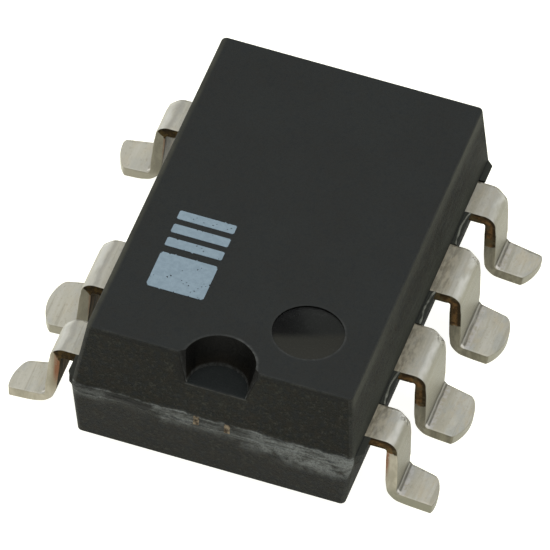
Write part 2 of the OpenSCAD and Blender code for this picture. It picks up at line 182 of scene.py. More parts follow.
class Paint:
    """A Principled material whose pattern coordinates are the row frame in millimetres.

    A colour is a node socket, three linear levels, or a name in the palette.
    """

    palette = {}

    def __init__(self, name):
        self.material = bpy.data.materials.new(name)
        self.material.use_nodes = True
        self.tree = self.material.node_tree
        self.shader = self.tree.nodes["Principled BSDF"]
        self.places = {}
        self.colour = None

    def node(self, kind, inputs=None, **settings):
        n = self.tree.nodes.new("ShaderNode" + kind)
        for key, value in settings.items():
            setattr(n, key, value)
        for key, value in (inputs or {}).items():
            self.feed(n.inputs[key], value)
        return n

    def feed(self, socket, value):
        if isinstance(value, bpy.types.NodeSocket):
            self.tree.links.new(value, socket)
        else:
            socket.default_value = value

    def set(self, socket, value):
        self.feed(self.shader.inputs[socket], value)

    def mm(self, stretch=(1, 1, 1)):
        """Row-frame coordinates in mm, scaled per axis."""
        if stretch not in self.places:
            here = self.node("TexCoord").outputs["Object"]
            scale = tuple(s / MM for s in stretch)
            self.places[stretch] = self.node("Mapping", {"Vector": here, "Scale": scale}).outputs[0]
        return self.places[stretch]

    def noise(self, scale, detail=3, rough=0.55, stretch=(1, 1, 1), distort=0.0):
        return self.node("TexNoise", {
            "Vector": self.mm(stretch), "Scale": scale, "Detail": detail,
            "Roughness": rough, "Distortion": distort,
        }).outputs["Fac"]

    def cells(self, scale):
        return self.node("TexVoronoi", {"Vector": self.mm(), "Scale": scale}).outputs["Distance"]

    def math(self, operation, a, b=0.0, c=0.0):
        n = self.node("Math", operation=operation)
        for socket, value in zip(n.inputs, (a, b, c)):
            self.feed(socket, value)
        return n.outputs[0]

    def fold(self, operation, values):
        out = values[0]
        for value in values[1:]:
            out = self.math(operation, out, value)
        return out

    def plus(self, *values):
        return self.fold("ADD", values)

    def minus(self, *values):
        return self.fold("SUBTRACT", values)

    def times(self, *values):
        return self.fold("MULTIPLY", values)

    def most(self, *values):
        return self.fold("MAXIMUM", values)

    def size(self, value):
        return self.math("ABSOLUTE", value)

    def above(self, value, limit):
        return self.math("GREATER_THAN", value, limit)

    def span(self, value, low, high, to_low=0.0, to_high=1.0):
        """value taken smoothly from low..high to to_low..to_high, held past both; low may be above high."""
        return self.node("MapRange", {
            "Value": value, "From Min": low, "From Max": high, "To Min": to_low, "To Max": to_high,
        }, interpolation_type="SMOOTHSTEP", clamp=True).outputs[0]

    def pick(self, mask, off, on):
        """off where the mask is 0, and on where it is 1."""
        return self.span(mask, 0, 1, off, on)

    def patches(self, noise, least=0.0, greatest=1.0):
        """Noise spread out into patches of least and greatest."""
        return self.span(noise, 0.35, 0.65, least, greatest)

    def wander(self, value, noise, reach):
        """value moved up and down by noise, by up to reach."""
        return self.plus(value, self.span(noise, 0.3, 0.7, -reach, reach))

    def near(self, value, centre, inner, outer):
        """1 within inner of centre, falling to 0 at outer."""
        return self.span(self.size(self.minus(value, centre)), outer, inner)

    def length(self, a, b):
        return self.math("SQRT", self.plus(self.times(a, a), self.times(b, b)))

    def mix(self, fac, a, b):
        n = self.node("Mix", data_type="RGBA")
        self.feed(n.inputs[0], fac)
        for socket, colour in ((n.inputs[6], a), (n.inputs[7], b)):
            if isinstance(colour, str):
                colour = self.palette[colour]
            self.feed(socket, (*colour, 1) if isinstance(colour, tuple) else colour)
        return n.outputs[2]

    def over(self, under, colour, *amounts):
        """A colour laid over another one, as thickly as the product of the amounts."""
        return self.mix(self.times(*amounts), under, colour)

    def coat(self, colour, *amounts):
        """Lays a colour over the paint's own."""
        self.colour = self.over(self.colour, colour, *amounts)

    def bump(self, height, depth, before=None):
        """Bump from a height field whose 0..1 stands for depth mm."""
        n = self.node("Bump", {"Height": height, "Distance": depth * MM, "Strength": 1.0})
        if before is not None:
            self.feed(n.inputs["Normal"], before)
        return n.outputs[0]


class Surface(Paint):
    """A paint that knows its place in the row frame, x, y and z in mm, and its normal, nx, ny and nz."""

    def __init__(self, name):
        super().__init__(name)
        self.x, self.y, self.z = self.node("SeparateXYZ", {"Vector": self.mm()}).outputs
        normal = self.node("NewGeometry").outputs["Normal"]
        self.nx, self.ny, self.nz = self.node("SeparateXYZ", {"Vector": normal}).outputs

    def reach(self, centre):
        """Distance in plan from a point, in mm."""
        return self.length(self.minus(self.x, centre[0]), self.minus(self.y, centre[1]))


def srgb(*levels):
    """Linear colour of 8-bit display levels."""
    return tuple(v / 255 / 12.92 if v <= 10 else ((v / 255 + 0.055) / 1.055) ** 2.4 for v in levels)


# ---- Resin ----

# Linear colours
RESIN = {
    "top": (0.0147, 0.0168, 0.0163), "wall": (0.0042, 0.0045, 0.0022),
    "side_plain_end": (0.0075, 0.0084, 0.0052), "side_notch_end": (0.021, 0.0222, 0.0178),
    "end_below": (0.0014, 0.0015, 0.0003),
    "cloud": (0.0125, 0.013, 0.012),
    "grain": (0.026, 0.027, 0.02), "pit": (0.0006, 0.0007, 0.0003),
    "brown_tint": (0.011, 0.0075, 0.003), "blue_tint": (0.0025, 0.0055, 0.0085),
    "rub": (0.031, 0.033, 0.027), "dust": (0.04, 0.043, 0.036),
    "under_edge_sheen_and_wear": (0.042, 0.044, 0.035),
    "ledge": (0.024, 0.026, 0.021),
    "olive_band": (0.043, 0.0435, 0.033),
    "speck": (0.08, 0.08, 0.07),
    "rim_line": (0.003, 0.0034, 0.003), "edge_wear_and_highlight": (0.034, 0.035, 0.031),
    "gap": (0.003, 0.003, 0.0026), "bruise": (0.18, 0.193, 0.19),
    "dish_pale": (0.0172, 0.0174, 0.014),
    "dish_grey": (0.0108, 0.0118, 0.0106), "dish_dark": (0.0006, 0.0008, 0.0007),
    "dish_rim_shadow": (0.0008, 0.0009, 0.0009),
    "notch": (0.0095, 0.0112, 0.011),
    "notch_low": (0.0095, 0.008, 0.0055), "notch_high": (0.0014, 0.0014, 0.0011),
    "jamb_shade": (0.0004, 0.0004, 0.0002),
    "catch": (0.055, 0.058, 0.056),
}
NOTCH_CENTRE, NOTCH_FLOOR = (0, HALF_L - NOTCH_INSET), TOP_Z - NOTCH_DEPTH
DIMPLE_CENTRE = (DIMPLE_SIDE - HALF_W, HALF_L - DIMPLE_END)
# Beside the notch, resin within this x and this near to the end counts as its mouth
MOUTH_X, MOUTH_RUN = 1.0, 0.8
# The torn ridges on the ends, above and below the parting line
RIDGE_HIGH, RIDGE_LOW = 0.11, -0.125
# The way across the dimple's dish from its dark side to its lit one, in plan
DISH_LIGHT = (-0.363, 0.932)


class ResinPaint(Surface):
    """A surface paint with the resin's patterns and masks: wall, side and end faces, and what is sunk."""

    palette = RESIN

    def __init__(self, name):
        super().__init__(name)
        self.flat = self.size(self.nz)
        self.wall = self.span(self.flat, 0.8, 0.3)
        self.side, self.end = (self.span(self.size(part), 0.6, 0.9) for part in (self.nx, self.ny))
        self.facing = self.most(self.size(self.nx), self.size(self.ny))
        self.grain, self.fine = self.noise(12, 4, 0.75), self.noise(26, 2, 0.6)
        self.fog = self.noise(2.4, 4, 0.65)
        self.sunk = self.above(TOP_Z - 0.012, self.z)


def resin_ground(p):
    """Painted light and shade by face on one resin: walls darker than the cool top and bottom, greenish sides
    lighter, more so towards the notched end, and warmer ends darker below the parting line; then mottled and
    pitted.
    """
    # painted light and shade: these face tones stand for how the light falls on each face
    p.colour = p.mix(p.wall, "top", "wall")
    p.coat(p.mix(p.span(p.y, -0.5, 3.2), "side_plain_end", "side_notch_end"), p.side)
    p.coat("end_below", p.end, p.span(p.z, PARTING_Z - 0.05, PARTING_Z - 0.4, 0.0, 0.8))
    p.coat("cloud", p.patches(p.noise(0.6, 3, 0.5), 0.0, 0.3))
    p.coat("grain", p.span(p.grain, 0.5, 0.66), p.pick(p.wall, 0.2, 1.0))
    p.coat("pit", p.span(p.fine, 0.5, 0.34), p.pick(p.wall, 0.2, 1.0))
    tint = p.noise(7, 3, 0.7)
    p.coat("brown_tint", p.span(tint, 0.52, 0.62), p.pick(p.wall, 0.1, 0.4))
    p.coat("blue_tint", p.span(tint, 0.48, 0.38), p.pick(p.wall, 0.15, 0.4))


def resin_sides(p):
    """Rubbed streaks and dust on the sides, painted sheen and wear under the top edge, and painted light on
    the ledges' tops.
    """
    p.coat("rub", p.side, p.span(p.noise(9, 5, 0.7, (1, 0.2, 1)), 0.46, 0.66, 0.0, 0.5))
    dust = p.times(p.span(p.z, PARTING_Z + 1.1, PARTING_Z + 0.1, 0.0, 0.75), p.above(p.z, PARTING_Z))
    p.coat("dust", p.side, dust, p.span(p.grain, 0.3, 0.6, 0.5, 1.0))
    # painted sheen under the sides' top edge, stronger towards -Y, and worn patches near the notched end
    glow = p.times(p.side, p.span(p.z, TOP_Z - 0.5, TOP_Z - 0.06), p.span(p.y, 1.5, -4.5, 0.35, 1.0))
    worn = p.times(p.side, p.near(p.z, TOP_Z - 0.14, 0.04, 0.24), p.span(p.y, 1.8, 3.4))
    p.coat("under_edge_sheen_and_wear", p.most(glow, p.times(worn, p.span(p.grain, 0.3, 0.6, 0.3, 1.0))))
    # painted light on the ledges' tops, which face the overhead light
    ledge = p.times(p.above(p.size(p.x), HALF_W + 0.004), p.span(p.flat, 0.5, 0.8), p.above(p.z, PARTING_Z))
    p.coat("ledge", ledge, 0.9)


def resin_edges(p):
    """A lighter olive band along the top's +X edge, pale filler specks, painted shade as a dark line under
    the ends' top edge, and painted highlight with wear on the rounded edges.
    """
    top_side = HALF_W - (TOP_Z - PARTING_Z) * math.tan(UPPER_DRAFT)
    band = p.times(p.span(p.x, top_side - 0.15, top_side - 0.05), p.above(p.z, TOP_Z - 0.1))
    p.coat("olive_band", band, p.patches(p.noise(1.6, 4, 0.6), 0.5, 1.0))
    speck = p.times(p.span(p.cells(6.5), 0.08, 0.0), p.span(p.noise(1.7, 2), 0.5, 0.62))
    p.coat("speck", speck, p.pick(p.wall, 0.4, 0.8))
    # painted shade: a dark line just under the ends' rounded top edge
    line = p.times(p.span(p.z, TOP_Z - 0.15, TOP_Z - 0.1), p.span(p.z, TOP_Z - 0.04, TOP_Z - 0.06))
    p.coat("rim_line", line, p.end, 0.7)
    # painted highlight on the rounded edges, broken by noise, with some wear
    edge = p.span(p.most(p.facing, p.flat), 0.985, 0.955)
    edge = p.times(edge, p.span(p.noise(3.5, 4, 0.6), 0.3, 0.7, 0.2, 1.0))
    mouth = p.times(p.above(MOUTH_X, p.size(p.x)), p.above(p.y, HALF_L - MOUTH_RUN))
    mouth = p.times(mouth, p.above(TOP_Z - 0.1, p.z), p.above(p.z, NOTCH_FLOOR + 0.03))
    p.coat("edge_wear_and_highlight", edge, p.pick(mouth, 1.0, 0.25), p.span(p.fine, 0.3, 0.6, 0.25, 0.6))


def resin_ends(p):
    """The torn, rubbed strip round the parting line of the two ends, white with a dark gap."""
    at_end = p.span(p.size(p.y), HALF_L - 0.09, HALF_L - 0.07)
    x = p.wander(p.times(p.x, p.math("SIGN", p.y)), p.noise(1.3, 3, 0.6), 0.3)
    z = p.wander(p.minus(p.z, PARTING_Z), p.noise(2.2, 3, 0.6, (1, 0.1, 0.2)), 0.03)
    heavy = p.span(x, 0.3, -1.9)
    light = p.most(p.span(x, 1.3, 0.9, 0.0, 0.45), p.span(x, 2.1, 2.7, 0.0, 0.4), 0.12)
    strength = p.most(heavy, p.near(x, 0.75, 0.15, 0.6), light)
    streak = p.noise(9, 5, 0.72, (0.16, 1, 1))
    lines = p.most(p.near(z, RIDGE_HIGH + 0.005, 0.0, 0.05), p.near(z, RIDGE_LOW, 0.0, 0.055))
    lines = p.times(lines, p.span(streak, 0.38, 0.6, 0.1, 1.0), p.span(strength, 0, 0.6, 0.3, 0.9))
    fill = p.times(p.near(z, -0.06, 0.1, 0.26), strength, p.span(streak, 0.36, 0.58, 0.15, 0.85))
    smear_to = p.span(x, -2.6, 0.5, -0.85, -0.5)
    smear = p.times(p.span(p.minus(z, smear_to), 0.0, 0.5), p.span(z, 0.14, -0.1), strength)
    smear = p.times(smear, p.span(p.noise(3.4, 6, 0.72, (0.8, 1, 1)), 0.36, 0.64, 0.0, 0.8))
    scuff = p.span(p.noise(11, 3, 0.6, (0.25, 1, 1.6)), 0.64, 0.72)
    scuff = p.times(scuff, p.near(z, -0.1, 0.2, 0.9), heavy, 0.4)
    grit = p.span(p.noise(26, 3, 0.75), 0.3, 0.6, 0.4, 1.0)
    gap = p.times(p.near(z, 0.0, 0.04, 0.12), p.span(strength, 0.1, 0.8, 0.8, 0.0))
    p.coat("gap", gap, at_end)
    p.coat("bruise", p.most(lines, fill, smear, scuff), at_end, grit, 0.9)


def resin_dimple(p):
    """Paints the dimple's dish with painted reflection, lit on one side and grey to dark across the rest, and
    a painted shadow under its far rim; gives back its mask.
    """
    dish = p.times(p.above(DIMPLE_R + 0.01, p.reach(DIMPLE_CENTRE)), p.sunk, p.above(p.z, TOP_Z - 0.3))
    # painted reflection of the room in the glossy dish
    lit_x, lit_y = DISH_LIGHT
    across = p.plus(p.times(p.x, lit_x), p.times(p.y, lit_y))
    lit = p.span(p.plus(across, p.times(p.fog, 0.12)), 3.42, 3.66)
    sweep = p.wander(p.plus(p.times(p.x, lit_y), p.times(p.y, -lit_x)), p.fog, 0.1)
    rest = p.mix(p.span(sweep, -0.65, 0.35), "dish_grey", "dish_dark")
    p.coat(p.mix(lit, rest, "dish_pale"), dish)
    # painted shadow of the rim on the dish's far side
    lip_centre = (DIMPLE_CENTRE[0] - 0.06, DIMPLE_CENTRE[1] + 0.06)
    p.coat("dish_rim_shadow", dish, p.span(p.reach(lip_centre), 0.76, 0.84), 0.8)
    return dish


def resin_notch(p):
    """Lays painted shade into the notch, darkest high on its wall, and onto the dark jambs beside it. Gives
    back its mask and the way in from the end face.
    """
    face_y = p.minus(HALF_L, p.times(p.minus(p.z, PARTING_Z), math.tan(UPPER_DRAFT)))
    inward = p.minus(face_y, p.y)
    notch = p.times(p.sunk, p.above(inward, 0.015), p.above(p.z, NOTCH_FLOOR - 0.02))
    notch = p.times(notch, p.above(NOTCH_REACH, p.reach(NOTCH_CENTRE)))
    # painted shade of the recess on the notch's floor and wall
    p.coat("notch", notch, 0.9)
    height = p.span(p.plus(p.z, p.times(p.fog, 0.3)), TOP_Z - 0.75, TOP_Z - 0.2)
    p.coat(p.mix(height, "notch_low", "notch_high"), notch, p.wall)
    # painted shade on the jambs of the notch's mouth
    jamb_shade = p.times(p.near(p.size(p.x), 0.75, 0.12, 0.16), p.span(p.facing, 0.97, 0.9))
    jamb_shade = p.times(jamb_shade, p.above(p.z, NOTCH_FLOOR), p.sunk)
    beside = p.times(p.end, p.near(p.x, 0.72, 0.08, 0.3), p.span(p.z, NOTCH_FLOOR - 0.2, TOP_Z - 0.5))
    p.coat("jamb_shade", p.most(jamb_shade, beside), p.above(p.y, HALF_L - MOUTH_RUN), 0.9)
    return notch, inward


def resin_catches(p, notch, inward):
    """Light caught at the foot of the notch's wall, in its mouth, on its sill and on the two rims."""
    foot = p.times(notch, p.near(p.z, NOTCH_FLOOR + 0.03, 0.02, 0.09), p.wall)
    mouth = p.times(notch, p.span(inward, 0.06, 0.02), 0.3)
    sill = p.times(p.end, p.near(p.z, NOTCH_FLOOR - 0.01, 0.0, 0.035), p.above(p.y, 0), 0.7)
    sill = p.times(sill, p.above(NOTCH_RIM - 0.12, p.size(p.x)))
    notch_rim = p.near(p.reach(NOTCH_CENTRE), NOTCH_RIM, 0.0, 0.06)
    notch_rim = p.times(notch_rim, p.span(p.x, 0.2, -0.4, 0.3, 0.9))
    dimple_rim = p.near(p.reach(DIMPLE_CENTRE), DIMPLE_R + 0.01, 0.0, 0.05)
    dimple_rim = p.times(dimple_rim, p.span(p.minus(p.y, p.x), 4.0, 5.2, 0.1, 0.5))
    on_top = p.times(p.above(p.z, TOP_Z - 0.004), p.above(p.flat, 0.9))
    catch = p.most(foot, mouth, sill, p.times(p.most(notch_rim, dimple_rim), on_top))
    p.coat("catch", catch, p.patches(p.noise(7, 4, 0.7), 0.25, 1.0))


def resin_paint():
    """Black moulding resin with an eroded grain, and polished where the mould's own marks are."""
    p = ResinPaint("moulding_resin")
    resin_ground(p)
    resin_sides(p)
    resin_edges(p)
    resin_ends(p)
    dimple = resin_dimple(p)
    notch, inward = resin_notch(p)
    resin_catches(p, notch, inward)
    p.set("Base Color", p.colour)

    from_ejector = p.length(p.x, p.minus(p.size(p.y), EJECTOR_PITCH / 2))
    ejector = p.times(p.above(EJECTOR_R + 0.01, from_ejector), p.above(BOTTOM_Z + 0.1, p.z))
    polish = p.most(dimple, p.times(notch, p.pick(p.wall, 1.0, 0.5)), ejector)
    rough = p.plus(p.span(p.grain, 0.2, 0.8, 0.5, 0.62), p.times(p.side, 0.24))
    gloss = p.span(p.grain, 0.2, 0.8, 0.22, 0.3)
    p.set("Roughness", p.plus(p.times(rough, p.minus(1, polish)), p.times(gloss, polish)))
    p.set("Specular IOR Level", 0.13)
    relief = p.times(p.minus(1, p.times(polish, 0.85)), p.noise(38, 3, 0.7))
    coarse = p.bump(p.times(p.pick(p.wall, 0.25, 1.0), p.grain), 0.02, p.bump(p.noise(5, 3, 0.5), 0.004))
    p.set("Normal", p.bump(relief, 0.008, coarse))
    return p.material


# ---- Tin and copper ----

TIN = {name: srgb(*levels) for name, levels in {
    "face_dark": (163, 160, 146), "face_pale": (182, 180, 171),
    "face_left": (173, 171, 159),
    "cool": (158, 161, 158), "warm": (176, 167, 146),
    "spots": (132, 128, 114), "scores": (136, 134, 122),
    "leg": (135, 133, 120), "first_leg": (118, 115, 102),
    "grime_and_shade_dark": (98, 93, 78), "grime_and_shade_pale": (134, 128, 111),
    "band": (142, 141, 134), "shine": (196, 196, 191),
    "scratch": (56, 52, 42), "chip": (214, 212, 204),
    "glint": (188, 186, 188),
    "inner_crease_shade": (84, 84, 78), "outer_crease_shade": (90, 89, 86),
    "crease_ridge_highlight": (180, 180, 178), "knob": (232, 229, 222),
    "bite": (212, 210, 202),
    "dark_edge_line": (62, 58, 46), "underside_shade": (66, 60, 46),
    "shear_dark": (92, 88, 74), "shear_pale": (117, 113, 96),
    "shear_left": (146, 142, 127),
    "outer_dark": (146, 141, 125), "outer_pale": (168, 162, 146),
    "outer_foot": (128, 126, 110), "outer_worn": (122, 112, 90),
    "rust": (116, 70, 40),
    "brown": (44, 34, 17), "core": (110, 82, 46),
    "brown_grey": (78, 70, 48),
    "olive_dark": (24, 18, 4), "olive_pale": (66, 52, 22),
    "back_dark": (44, 42, 18), "back_copper": (98, 78, 44),
    "bar_dark": (48, 40, 32), "bar_pale": (128, 116, 98),
}.items()}
# Places down a lead, as |x| - z in mm: on the shoulder and round its bend, then on the foot bend
BAND_AT, SHINE_AT, SCRATCH_AT = 1.78, 2.0, 2.1
INNER_CREASE, CREASE_RIDGE, KNOB_AT, OUTER_CREASE, GLINT_AT = 3.6, 3.668, 3.7, 3.735, 3.82
# Beyond this y a side belongs to the outer edge of an end lead
OUTER_Y = 3.9


class TinPaint(Surface):
    """A surface paint that knows its place on a lead.

    along runs down the lead as |x| - z, and lead_y across it from its middle, both in mm. outward is the part
    of the normal that looks away from the body. right and left are masks of the -X and the +X side.
    """

    palette = TIN

    def __init__(self, name):
        super().__init__(name)
        half = PITCH / 2
        self.out_x = self.size(self.x)
        self.along = self.minus(self.out_x, self.z)
        self.lead_y = self.math("WRAP", self.minus(self.y, half), half, -half)
        self.outward = self.times(self.nx, self.math("SIGN", self.x))
        self.right, self.left = self.above(0, self.x), self.above(self.x, 0)
        self.upper = self.most(self.above(self.nz, 0.1), self.above(self.outward, 0.1))
        self.streak = self.noise(3.2, 6, 0.65, (2.6, 0.22, 2.6), 0.3)
        self.fine = self.noise(30, 3, 0.7)


def tin_faces(p):
    """Mottled faces with cool and warm patches, spots and long scores, painted light on the left leads' faces
    and painted shade on the right legs.
    """
    much = p.pick(p.right, 0.55, 1.0)
    p.colour = p.mix(p.span(p.streak, 0.32, 0.68), "face_dark", "face_pale")
    # painted light: the left leads' faces lighter
    p.coat("face_left", p.left, 0.55)
    p.coat("cool", p.span(p.noise(2.3, 5, 0.65, (1.2, 0.6, 1.2)), 0.48, 0.62, 0.0, 0.6), much)
    p.coat("warm", p.span(p.noise(2.9, 5, 0.65, (1.3, 0.5, 1.2)), 0.48, 0.64, 0.0, 0.6), much)
    p.coat("spots", p.span(p.noise(16, 4, 0.75, (1.2, 0.6, 1.2)), 0.52, 0.7, 0.0, 0.4))
    p.coat("scores", p.span(p.noise(4.1, 2, 0.5, (2.2, 0.1, 2.2)), 0.6, 0.68), 0.4)
    # painted shade on the right legs' outer faces, more on the first lead
    p.coat("leg", p.right, p.span(p.outward, 0.2, 0.9, 0.25, 0.85))
    p.coat("first_leg", p.right, p.span(p.outward, 0.4, 0.9), p.span(p.y, 2.4, 2.8, 0.0, 0.4))


def tin_shoulder(p):
    """Stain with painted shade near the resin, a grey band, a painted highlight round the bend, and dark
    scratches at its -Y end.
    """
    edge = p.wander(p.along, p.noise(3, 4, 0.6, (1, 0.35, 1)), 0.06)
    # stain with painted shade near the resin, stronger on the right leads
    stain_and_shade = p.times(p.span(edge, 1.82, 1.46), p.span(p.y, -3.2, -2.5, 0.4, 1.0))
    stain_and_shade = p.times(stain_and_shade, p.pick(p.right, 0.25, 0.9), p.span(p.streak, 0.3, 0.6, 0.6, 1.0))
    grime_and_shade_noise = p.span(p.noise(7, 4, 0.7, (1.4, 0.5, 1)), 0.4, 0.6)
    p.coat(p.mix(grime_and_shade_noise, "grime_and_shade_dark", "grime_and_shade_pale"), stain_and_shade)
    p.coat("band", p.near(edge, BAND_AT, 0.02, 0.12), p.pick(p.left, 0.4, 0.6))
    broken = p.span(p.noise(2.5, 3, 0.6, (1, 0.5, 1)), 0.3, 0.6, 0.2, 0.75)
    # painted highlight round the shoulder bend
    p.coat("shine", p.near(edge, SHINE_AT, 0.02, 0.22), broken)
    place = p.times(p.near(p.along, SCRATCH_AT, 0.08, 0.3), p.span(p.lead_y, -0.4, -0.66))
    place = p.times(place, p.span(p.y, -3, -1.5, 0.4, 1.0), p.right)
    p.coat("chip", place, p.span(p.noise(21, 3, 0.7), 0.55, 0.62), 0.6)
    p.coat("scratch", place, p.span(p.noise(13, 3, 0.75, (0.8, 0.5, 0.8)), 0.49, 0.56), 0.9)


def tin_foot_bend(p):
    """Painted shade and highlight lines along the foot bend's creases, a painted glint beyond them, and a
    painted highlight on the knob at their +Y end. Gives back how deep the creases are.
    """
    wide, narrow = (half - TRIM_STEP - 0.04 for half in (SHOULDER_HALF, FIRST_LEAD_OUT))
    past_edge = p.minus(p.lead_y, p.span(p.y, 2.5, 2.6, wide, narrow))
    crease = p.times(p.upper, p.above(0.6, p.z), p.above(p.z, 0.22), p.pick(p.left, 1.0, 0.4))
    crease = p.times(crease, p.span(p.size(p.ny), 0.5, 0.3), p.above(0.065, past_edge))
    line = p.wander(p.along, p.noise(3, 3, 0.6, (1, 0.5, 1)), 0.012)
    sparse = p.span(p.noise(9, 3, 0.7), 0.4, 0.6, 0.0, 0.5)
    broken = p.span(p.noise(9, 3, 0.7, (1, 0.5, 1)), 0.3, 0.6, 0.45, 1.0)
    # painted glint, then painted shade and highlight lines across the creases
    p.coat("glint", crease, p.near(line, GLINT_AT, 0.02, 0.09), sparse)
    p.coat("inner_crease_shade", crease, p.near(line, INNER_CREASE, 0.012, 0.065), broken, 0.75)
    p.coat("outer_crease_shade", crease, p.near(line, OUTER_CREASE, 0.008, 0.05), broken, 0.7)
    p.coat("crease_ridge_highlight", crease, p.near(line, CREASE_RIDGE, 0.004, 0.03), broken, 0.55)
    # painted highlight on the upset knob
    knob = p.times(p.near(past_edge, 0.0, 0.01, 0.06), p.near(line, KNOB_AT, 0.03, 0.11))
    p.coat("knob", p.upper, knob, 0.85)
    inner, outer = p.near(line, INNER_CREASE + 0.01, 0.0, 0.04), p.near(line, OUTER_CREASE, 0.0, 0.035)
    return p.times(crease, p.most(inner, outer))


def tin_dark_edge(p):
    """Thin dark line along the -Y edge of the upper faces, with bright bites inside it."""
    trimmed = p.span(p.along, 1.9, 2.2, 0.0, TRIM_STEP * 0.7)
    tapered = p.span(p.along, 3.7, 4.6, 0.0, FOOT_TAPER)
    edge = p.plus(p.span(p.y, -2.6, -2.5, -LAST_LEAD_OUT, -SHOULDER_HALF), trimmed, tapered)
    inward = p.minus(p.lead_y, edge, p.patches(p.noise(7, 4, 0.7), -0.01, 0.03))
    bite = p.times(p.near(inward, 0.09, 0.01, 0.05), p.span(p.noise(10, 4, 0.7), 0.5, 0.62))
    p.coat("bite", bite, p.upper, p.right, p.near(p.along, SCRATCH_AT, 0.3, 0.6), 0.5)
    on_leg = p.times(p.span(p.outward, 0.5, 0.85), p.span(p.along, 2.3, 2.6))
    ragged = p.mix(on_leg, p.span(p.noise(6, 4, 0.7), 0.38, 0.6, 0.15, 0.9), (0.4, 0.4, 0.4))
    dark_edge_line = p.times(p.upper, ragged, p.span(p.along, 3.6, 3.9, 1.0, 0.5), p.pick(p.left, 1.0, 0.5))
    p.coat("dark_edge_line", p.near(inward, 0.0, 0.03, 0.055), dark_edge_line)


def plated_side(p):
    """Colour of a sheared side under its tin, and the mask of the pale sides: the left and the outer ones."""
    outer = p.most(p.above(p.y, OUTER_Y), p.above(-OUTER_Y, p.y))
    pale = p.most(p.left, outer)
    shear = p.mix(p.patches(p.noise(6, 4, 0.65, (1, 1, 0.3))), "shear_dark", "shear_pale")
    shear = p.over(shear, "shear_left", p.left, p.span(p.z, 0.2, 0.5, 1.0, 0.3))
    bright = p.mix(p.patches(p.noise(4, 4, 0.65, (1, 1, 0.4))), "outer_dark", "outer_pale")
    bright = p.over(bright, "outer_foot", p.right, p.span(p.z, 0.6, 0.2))
    worn = p.times(p.near(p.out_x, 3.78, 0.06, 0.16), p.span(p.z, 0.3, 0.9, 0.0, 0.7))
    shear = p.over(shear, p.over(bright, "outer_worn", p.left, worn), outer)
    rust_x = p.pick(p.left, 3.72, p.pick(outer, 3.715, 3.76))
    rust = p.near(p.out_x, rust_x, p.pick(outer, 0.01, 0.03), p.pick(outer, 0.05, 0.1))
    rust = p.times(rust, pale, p.span(p.z, 0.6, 1.2), p.span(p.noise(5, 4, 0.7, (1, 1, 0.4)), 0.32, 0.52))
    return p.over(shear, "rust", rust, p.pick(outer, 0.45, 0.9)), pale


def bare_side(p, pale):
    """Colour of a sheared side's bare copper, and its mask: above a limit, higher on the pale sides."""
    torn_z = p.wander(p.z, p.noise(5, 4, 0.6), 0.05)
    limit = p.plus(p.pick(pale, 0.95, 1.5), p.times(p.left, p.most(p.minus(p.out_x, 3.7), 0), 1.2))
    bare = p.span(p.minus(torn_z, limit), -0.02, 0.03)
    # depth through the lead's thickness round the shoulder bend, 0 on its mid-line
    over = p.most(p.minus(p.z, BEND_Z), 0)
    lean = p.times(p.most(p.minus(BEND_Z, p.z), 0), math.tan(LEG_LEAN))
    beyond = p.most(p.minus(p.out_x, BEND_X, lean), 0)
    depth = p.minus(p.length(over, beyond), SHOULDER_BEND_R + LEAD_T / 2)
    core = p.times(p.near(depth, -0.01, 0.02, 0.1), p.span(p.noise(7, 4, 0.65), 0.35, 0.6, 0.2, 1.0))
    brown = p.mix(core, "brown", "core")
    brown = p.over(brown, "brown_grey", p.span(p.noise(5, 3, 0.6), 0.5, 0.62, 0.0, 0.8))
    olive = p.mix(p.span(p.noise(9, 3, 0.7), 0.4, 0.6), "olive_dark", "olive_pale")
    return p.over(brown, olive, p.left, 0.85), bare


def tin_paint():
    """Matt tin over copper: mottled faces, stained roots with painted shade, creased foot bends with painted
    shade and highlights, and sheared, bare sides.
    """
    p = TinPaint("tin_plating")
    tin_faces(p)
    tin_shoulder(p)
    groove = tin_foot_bend(p)
    tin_dark_edge(p)
    # painted shade where the heel's worn round slants downwards, standing for a contact shadow
    underside_shade = p.times(p.near(p.nz, -0.6, 0.15, 0.28), p.above(0.5, p.z), 0.8)
    p.coat("underside_shade", underside_shade)
    plated, pale = plated_side(p)
    copper, bare = bare_side(p, pale)
    cut = p.span(p.size(p.ny), 0.6, 0.8)
    p.coat(p.mix(bare, p.over(plated, "underside_shade", underside_shade), copper), cut)
    # faces turned to the body: painted shade, dull, with copper showing through in streaks
    back = p.times(p.above(-0.5, p.outward), p.span(p.z, 0.15, 0.4), p.span(p.y, -3.2, -2.6, 0.6, 1.0))
    back_shade_and_copper = p.mix(p.span(p.noise(4, 5, 0.7, (1, 1.6, 0.3)), 0.42, 0.6), "back_dark", "back_copper")
    p.coat(back_shade_and_copper, back, p.pick(p.left, 0.8, 0.95))
    # ends of the tie bars
    bar = p.mix(p.patches(p.noise(12, 3, 0.6)), "bar_dark", "bar_pale")
    p.coat(bar, p.above(p.size(p.y), HALF_L - 0.2))

    p.set("Base Color", p.colour)
    p.set("Metallic", 0.25)
    p.set("Specular IOR Level", 0.2)
    copper_dull = p.times(p.most(back, p.times(cut, bare)), 0.95)
    p.set("Roughness", p.most(p.span(p.fine, 0.3, 0.7, 0.42, 0.6), copper_dull))
    p.set("Normal", p.bump(p.minus(1, groove), 0.012, p.bump(p.fine, 0.004, p.bump(p.streak, 0.008))))
    return p.material


# ---- Ink, flash and what the resin hides ----

